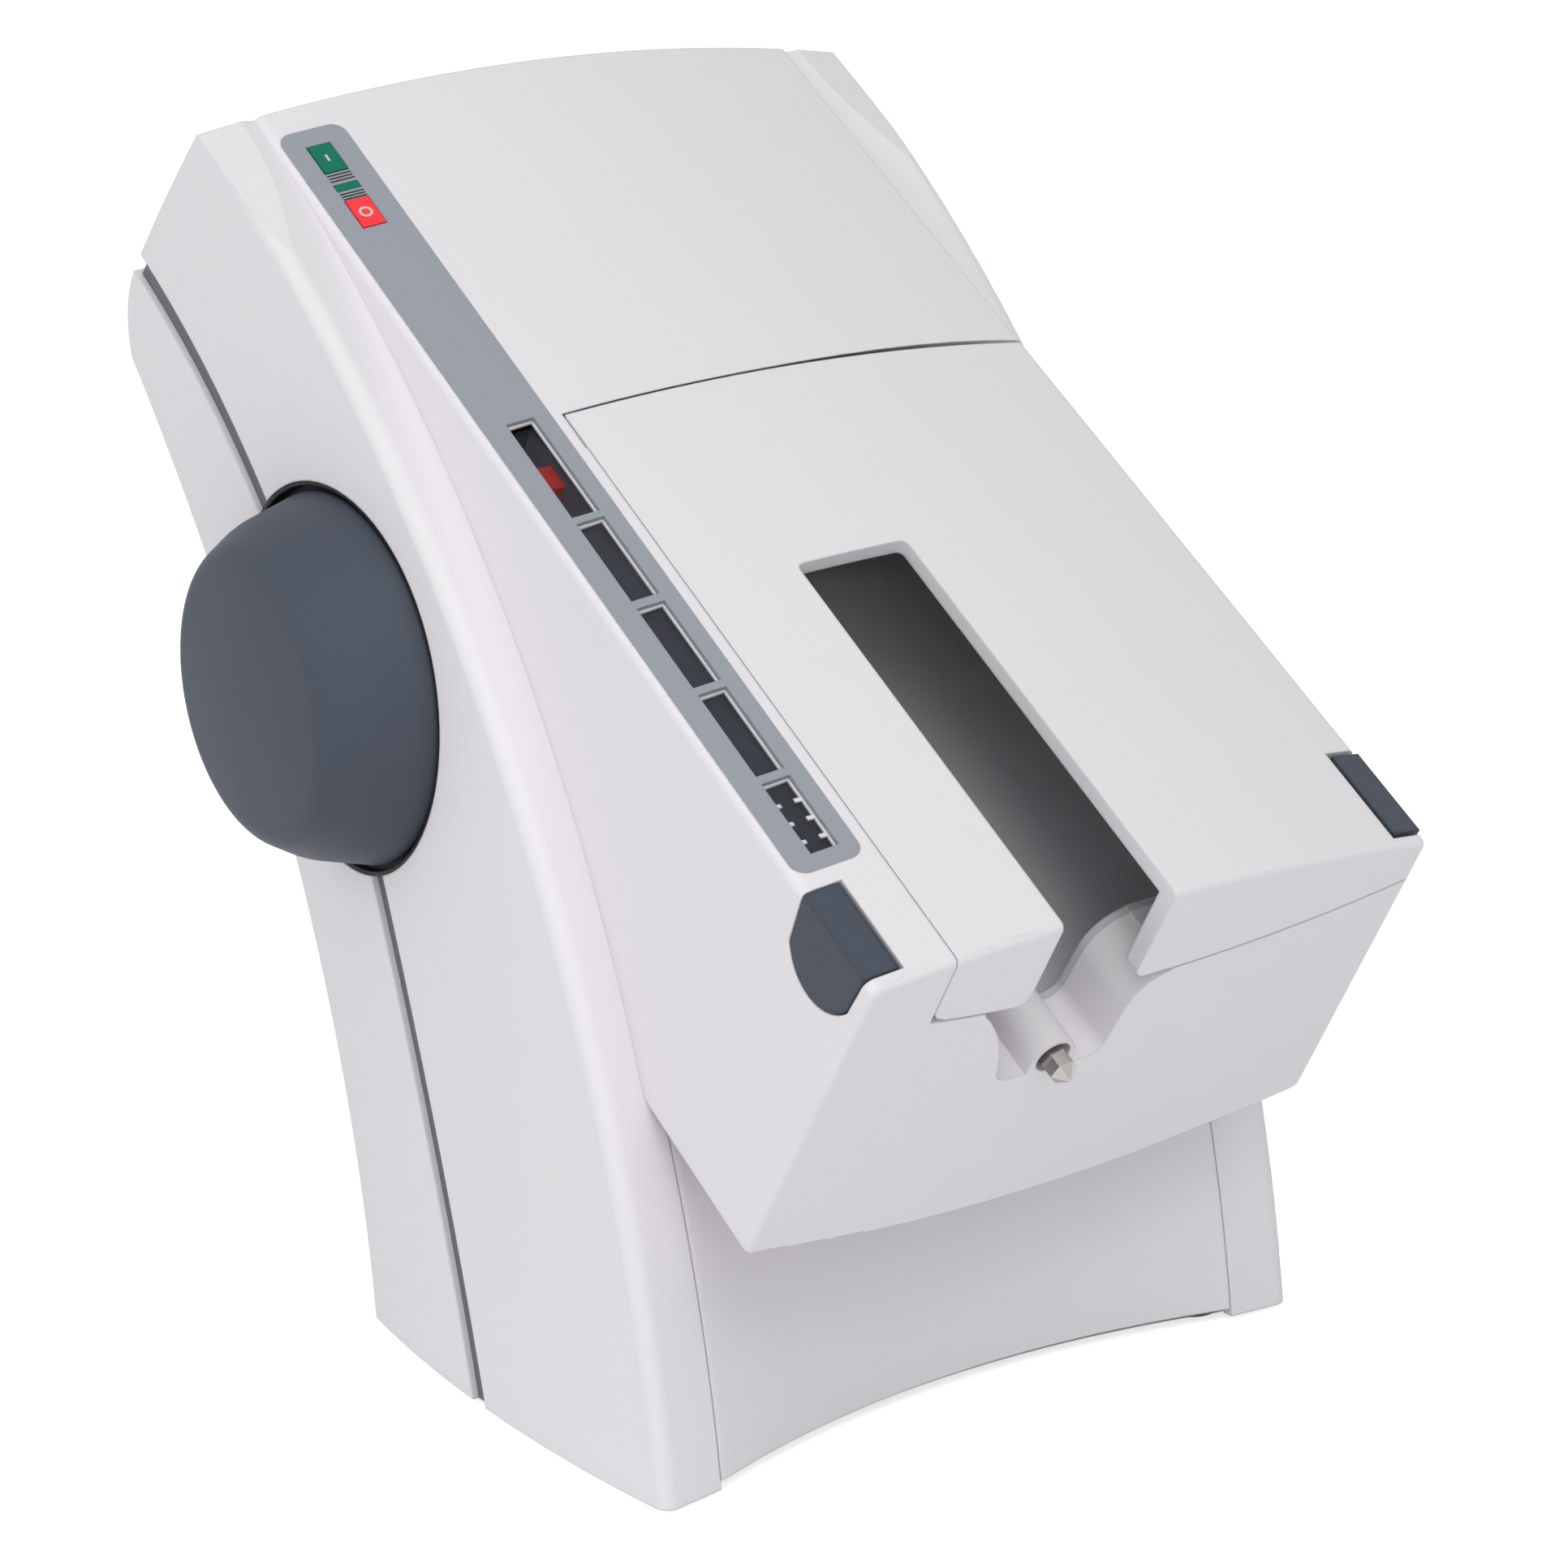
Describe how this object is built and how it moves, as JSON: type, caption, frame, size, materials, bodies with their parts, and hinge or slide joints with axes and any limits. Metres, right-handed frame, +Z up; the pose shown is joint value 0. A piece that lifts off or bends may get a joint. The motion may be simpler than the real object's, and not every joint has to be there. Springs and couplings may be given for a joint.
{
  "type": "impression material mixer",
  "caption": "Bench-top mixer with a lidded cartridge bay in a sloping head, push discs on a rack driven by a side knob, and a spinning hexagonal mixing shaft",
  "frame": {"origin": "centre of the footprint on the surface it stands on", "axes": "+Z up, front toward -Y, +X to the right seen from the front"},
  "size_m": [0.241, 0.3281, 0.3441],
  "materials": {
    "shell": "cool white satin moulded shell",
    "dark_strip": "mid grey moulded strip",
    "liner": "dark grey moulded tray",
    "control": "slate grey soft matte",
    "scale": "blue-grey printed overlay",
    "pane": "smoked clear sheet",
    "green": "green membrane key",
    "red": "red membrane key",
    "lens": "green indicator window",
    "pointer_red": "red pointer",
    "plate": "grey moulded base",
    "rubber": "black rubber",
    "steel": "ground steel",
    "bronze": "sintered bronze",
    "zinc": "zinc-plated sheet steel",
    "gear_steel": "cut steel teeth",
    "disc_plastic": "light acetal",
    "motor_can": "dark painted can",
    "board": "green circuit board",
    "black_part": "black moulding"
  },
  "bodies": {
    "housing": {"accent_band": "dark_strip", "advance_motor": "motor_can", "base_front_panel": "shell", "base_plate": "plate", "base_screws": "steel", "bay_liner": "liner", "chassis_left": "zinc", "chassis_right": "zinc", "foot_1": "rubber", "foot_2": "rubber", "foot_3": "rubber", "foot_4": "rubber", "front_housing": "shell", "hinge_bracket_left": "zinc", "hinge_bracket_right": "zinc", "hinge_pin_left": "steel", "hinge_pin_right": "steel", "key_board": "board", "knob_bush_left": "bronze", "knob_bush_right": "bronze", "knob_dish": "liner", "mains_inlet": "black_part", "mix_bush_front": "bronze", "mix_bush_rear": "bronze", "mix_motor": "motor_can", "motor_plate": "zinc", "power_board": "board", "rear_housing": "shell", "rod_bush_left": "bronze", "rod_bush_right": "bronze", "scale_strip": "scale", "start_switch_left": "black_part", "start_switch_right": "black_part", "status_lens": "lens", "transformer": "black_part", "window_pane": "pane"},
    "lid": {"lid": "shell"},
    "start_button_left": {"start_button_left": "control"},
    "start_button_right": {"start_button_right": "control"},
    "green_key": {"green_key": "green"},
    "red_key": {"red_key": "red"},
    "knob": {"knob": "control", "knob_shaft": "steel", "rack_pinion_left": "gear_steel", "rack_pinion_right": "gear_steel", "advance_gear": "gear_steel"},
    "advance_pinion": {"advance_pinion": "gear_steel"},
    "carriage": {"crosshead": "zinc", "rack_left": "gear_steel", "rack_right": "gear_steel", "push_rod_left": "steel", "push_rod_right": "steel", "push_disc_large": "disc_plastic", "push_disc_small": "disc_plastic", "pointer_rod": "steel", "pointer": "pointer_red"},
    "mix_shaft": {"mix_shaft": "steel", "mix_gear": "gear_steel"},
    "mix_pinion": {"mix_pinion": "gear_steel"}
  },
  "joints": [
    {"name": "lid_hinge", "type": "hinge", "parent": "housing", "child": "lid", "pos_m": [0.0145, -0.00498, 0.26033], "axis": [-1, 0, 0], "range_deg": [0, 75]},
    {"name": "start_left_press", "type": "slide", "parent": "housing", "child": "start_button_left", "axis": [1, 0, 0], "range_m": [0, 0.0006], "stiffness_N_per_m": 1500, "springref_m": -0.0006},
    {"name": "start_right_press", "type": "slide", "parent": "housing", "child": "start_button_right", "axis": [-1, 0, 0], "range_m": [0, 0.0006], "stiffness_N_per_m": 1500, "springref_m": -0.0006},
    {"name": "green_key_press", "type": "slide", "parent": "housing", "child": "green_key", "axis": [0, 0.5635, -0.8261], "range_m": [0, 0.0008], "stiffness_N_per_m": 1000, "springref_m": -0.0008},
    {"name": "red_key_press", "type": "slide", "parent": "housing", "child": "red_key", "axis": [0, 0.5635, -0.8261], "range_m": [0, 0.0008], "stiffness_N_per_m": 1000, "springref_m": -0.0008},
    {"name": "knob_turn", "type": "hinge", "parent": "housing", "child": "knob", "pos_m": [0.0145, 0.05329, 0.19478], "axis": [1, 0, 0], "range_deg": [0, 393.9]},
    {"name": "carriage_slide", "type": "slide", "parent": "housing", "child": "carriage", "axis": [0, -0.8261, -0.5635], "range_m": [0, 0.11]},
    {"name": "advance_spin", "type": "hinge", "parent": "housing", "child": "advance_pinion", "pos_m": [0.0145, 0.06895, 0.16687], "axis": [1, 0, 0], "range_deg": [-1182.7, 0]},
    {"name": "mix_spin", "type": "hinge", "parent": "housing", "child": "mix_shaft", "pos_m": [0.0005, -0.13324, 0.11474], "axis": [0, -0.8261, -0.5635], "continuous": true},
    {"name": "mix_motor_spin", "type": "hinge", "parent": "housing", "child": "mix_pinion", "pos_m": [0.0005, 0.04268, 0.21175], "axis": [0, -0.8261, -0.5635], "continuous": true}
  ],
  "couplings": [
    {"joint": "carriage_slide", "follows": "knob_turn", "m_per_rad": 0.016},
    {"joint": "advance_spin", "follows": "knob_turn", "ratio": -3},
    {"joint": "mix_motor_spin", "follows": "mix_spin", "ratio": -1.7143}
  ]
}
